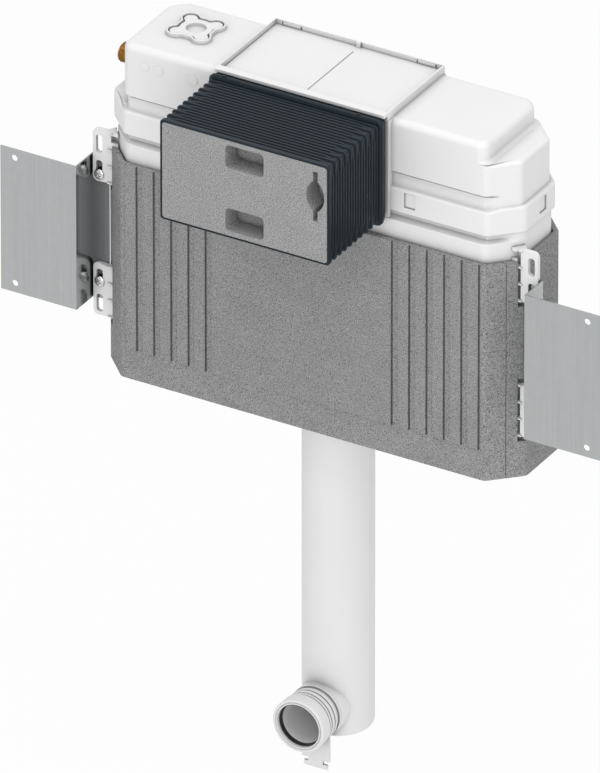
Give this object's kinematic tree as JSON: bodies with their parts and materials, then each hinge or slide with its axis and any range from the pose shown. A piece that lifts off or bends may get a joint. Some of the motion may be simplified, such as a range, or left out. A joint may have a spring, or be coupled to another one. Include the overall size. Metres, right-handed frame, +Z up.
{
  "type": "toilet cistern",
  "caption": "Concealed toilet cistern for a stud wall: insulated tank, front service shaft, side fixing wings and a flush pipe with elbow outlet.",
  "frame": {"origin": "centre of the four fixing holes of the steel wings, on the front face of the wing flanges", "axes": "+X to the right seen from the front, +Y into the wall, +Z up"},
  "size_m": [0.6936, 0.2387, 0.7944],
  "materials": {
    "tank_white": "satin",
    "casing_foam": "matte",
    "plug_foam": "matte",
    "shaft_black": "satin",
    "galvanised": "satin",
    "lug_white": "satin",
    "zinc": "satin",
    "pipe_white": "satin",
    "rubber_black": "matte",
    "brass": "satin",
    "hose_braid": "satin",
    "valve_plastic": "satin",
    "control_blue": "satin",
    "pin_steel": "satin"
  },
  "bodies": {
    "cistern": {"lower_tank": "tank_white", "tank_hood": "tank_white", "hood_gasket": "rubber_black", "insulation_front": "casing_foam", "insulation_rear": "casing_foam", "shaft_sleeve": "shaft_black", "wing_left": "galvanised", "wing_right": "galvanised", "lug_upper_left": "lug_white", "lug_lower_left": "lug_white", "lug_upper_right": "lug_white", "lug_lower_right": "lug_white", "lug_screws": "zinc", "lug_nuts": "zinc", "flush_pipe": "pipe_white", "outlet_socket": "pipe_white", "outlet_seal": "rubber_black", "outlet_clip": "pipe_white", "pipe_seal": "rubber_black", "inlet_stub": "brass", "inlet_washer": "rubber_black", "inlet_nut": "brass", "stop_valve_body": "brass", "supply_hose": "hose_braid", "fill_valve_body": "valve_plastic", "fill_valve_bracket": "valve_plastic", "valve_base": "valve_plastic", "valve_base_seal": "rubber_black", "valve_nut": "valve_plastic", "valve_cage": "valve_plastic", "lever_bracket": "valve_plastic", "lever_pin": "pin_steel"},
    "plug": {"shaft_plug": "plug_foam"},
    "lid": {"service_lid": "tank_white"},
    "port_lid": {"port_cap": "tank_white"},
    "valve_knob": {"stop_valve_knob": "control_blue"},
    "float": {"fill_float": "valve_plastic"},
    "float_lever": {"fill_lever": "control_blue"},
    "flush_lift": {"flush_tube": "valve_plastic", "flush_seal": "rubber_black"},
    "full_lever": {"full_flush_lever": "control_blue"},
    "half_lift": {"half_flush_rod": "valve_plastic"},
    "half_lever": {"half_flush_lever": "control_blue"}
  },
  "joints": [
    {"name": "plug_pull", "type": "slide", "parent": "cistern", "child": "plug", "axis": [0, -1, 0], "range_m": [0, 0.06]},
    {"name": "lid_lift", "type": "slide", "parent": "cistern", "child": "lid", "axis": [0, 0, 1], "range_m": [0, 0.05]},
    {"name": "port_lift", "type": "slide", "parent": "cistern", "child": "port_lid", "axis": [0, 0, 1], "range_m": [0, 0.02]},
    {"name": "stop_valve_turn", "type": "hinge", "parent": "cistern", "child": "valve_knob", "pos_m": [-0.1575, 0.055, 0.194], "axis": [1, 0, 0], "range_deg": [0, 90]},
    {"name": "float_slide", "type": "slide", "parent": "cistern", "child": "float", "axis": [0, 0, 1], "range_m": [0, 0.012]},
    {"name": "float_lever_swing", "type": "hinge", "parent": "cistern", "child": "float_lever", "pos_m": [-0.13, 0.055, 0.19], "axis": [0, 1, 0], "range_deg": [-31, 0]},
    {"name": "flush_lift_slide", "type": "slide", "parent": "cistern", "child": "flush_lift", "axis": [0, 0, 1], "range_m": [0, 0.0148]},
    {"name": "full_lever_swing", "type": "hinge", "parent": "cistern", "child": "full_lever", "pos_m": [-0.005, 0.045, 0.2], "axis": [1, 0, 0], "range_deg": [0, 25]},
    {"name": "half_lift_slide", "type": "slide", "parent": "cistern", "child": "half_lift", "axis": [0, 0, 1], "range_m": [0, 0.0148]},
    {"name": "half_lever_swing", "type": "hinge", "parent": "cistern", "child": "half_lever", "pos_m": [0.046, 0.045, 0.2], "axis": [1, 0, 0], "range_deg": [0, 25]}
  ],
  "couplings": [
    {"joint": "float_lever_swing", "follows": "float_slide", "rad_per_m": -44},
    {"joint": "full_lever_swing", "follows": "flush_lift_slide", "rad_per_m": 29.412},
    {"joint": "half_lever_swing", "follows": "half_lift_slide", "rad_per_m": 29.412}
  ]
}
